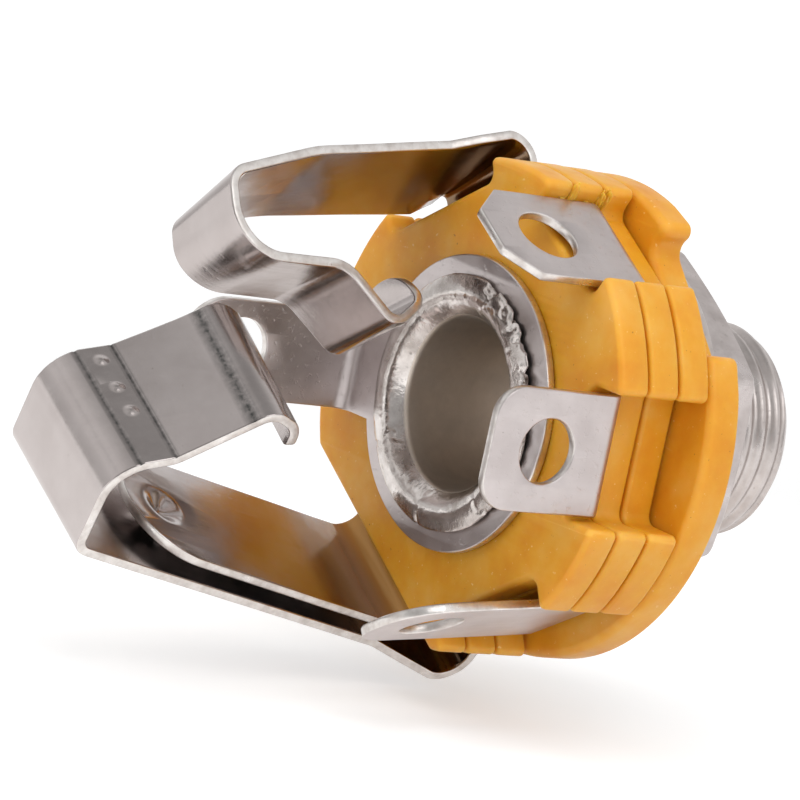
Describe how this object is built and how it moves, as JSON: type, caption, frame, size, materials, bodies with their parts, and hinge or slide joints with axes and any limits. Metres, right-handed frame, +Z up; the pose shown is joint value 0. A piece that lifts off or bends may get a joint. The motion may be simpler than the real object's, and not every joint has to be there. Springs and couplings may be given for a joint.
{
  "type": "panel-mount jack socket",
  "caption": "Open-frame quarter-inch jack socket: threaded panel bush with nut and washer, insulating wafers, solder lugs, folded contact springs and a switch leaf beside the tip spring.",
  "frame": {"origin": "on the axis of the bush, in the plane of the panel seat, which is the front face of the front insulator", "axes": "+Y along the bush towards its nose, where the plug enters; +Z up, as the picture shows it; +X to the right seen from behind"},
  "size_m": [0.0199, 0.0304, 0.0227],
  "materials": {
    "nickel": "bright nickel plate on turned brass",
    "amber": "moulded, slightly waxy",
    "terminal": "nickel-plated strip, stamped and bent",
    "spring": "bright nickel-plated spring strip"
  },
  "bodies": {
    "socket": {"threaded_bush": "nickel", "front_insulator": "amber", "front_wafer": "amber", "middle_wafer": "amber", "rear_wafer": "amber", "sleeve_terminal": "terminal", "switch_terminal": "terminal", "ring_terminal": "terminal", "tip_terminal": "terminal"},
    "ring_arm": {"ring_spring": "spring"},
    "tip_arm": {"tip_spring": "spring"},
    "leaf_arm": {"switch_leaf": "spring"},
    "washer": {"panel_washer": "nickel"},
    "nut": {"panel_nut": "nickel"}
  },
  "joints": [
    {"name": "ring_flex", "type": "hinge", "parent": "socket", "child": "ring_arm", "pos_m": [-0.00465, -0.00325, 0.00805], "axis": [-0.866, 0, -0.5], "range_deg": [0, 8], "stiffness_Nm_per_rad": 0.01},
    {"name": "tip_flex", "type": "hinge", "parent": "socket", "child": "tip_arm", "pos_m": [-0.005, -0.00173, -0.00866], "axis": [0.866, 0, -0.5], "range_deg": [0, 13], "stiffness_Nm_per_rad": 0.01},
    {"name": "leaf_flex", "type": "hinge", "parent": "socket", "child": "leaf_arm", "pos_m": [-0.0043, -0.00477, -0.00745], "axis": [0.866, 0, -0.5], "range_deg": [0, 1.6], "stiffness_Nm_per_rad": 0.01},
    {"name": "washer_slide", "type": "slide", "parent": "socket", "child": "washer", "axis": [0, 1, 0], "range_m": [0, 0.0036]},
    {"name": "nut_turn", "type": "hinge", "parent": "washer", "child": "nut", "pos_m": [0, 0, 0], "axis": [0, 1, 0], "range_deg": [0, 1728]}
  ],
  "couplings": [
    {"joint": "leaf_flex", "follows": "tip_flex", "ratio": 0.12},
    {"joint": "nut_turn", "follows": "washer_slide", "rad_per_m": 8377.6}
  ]
}
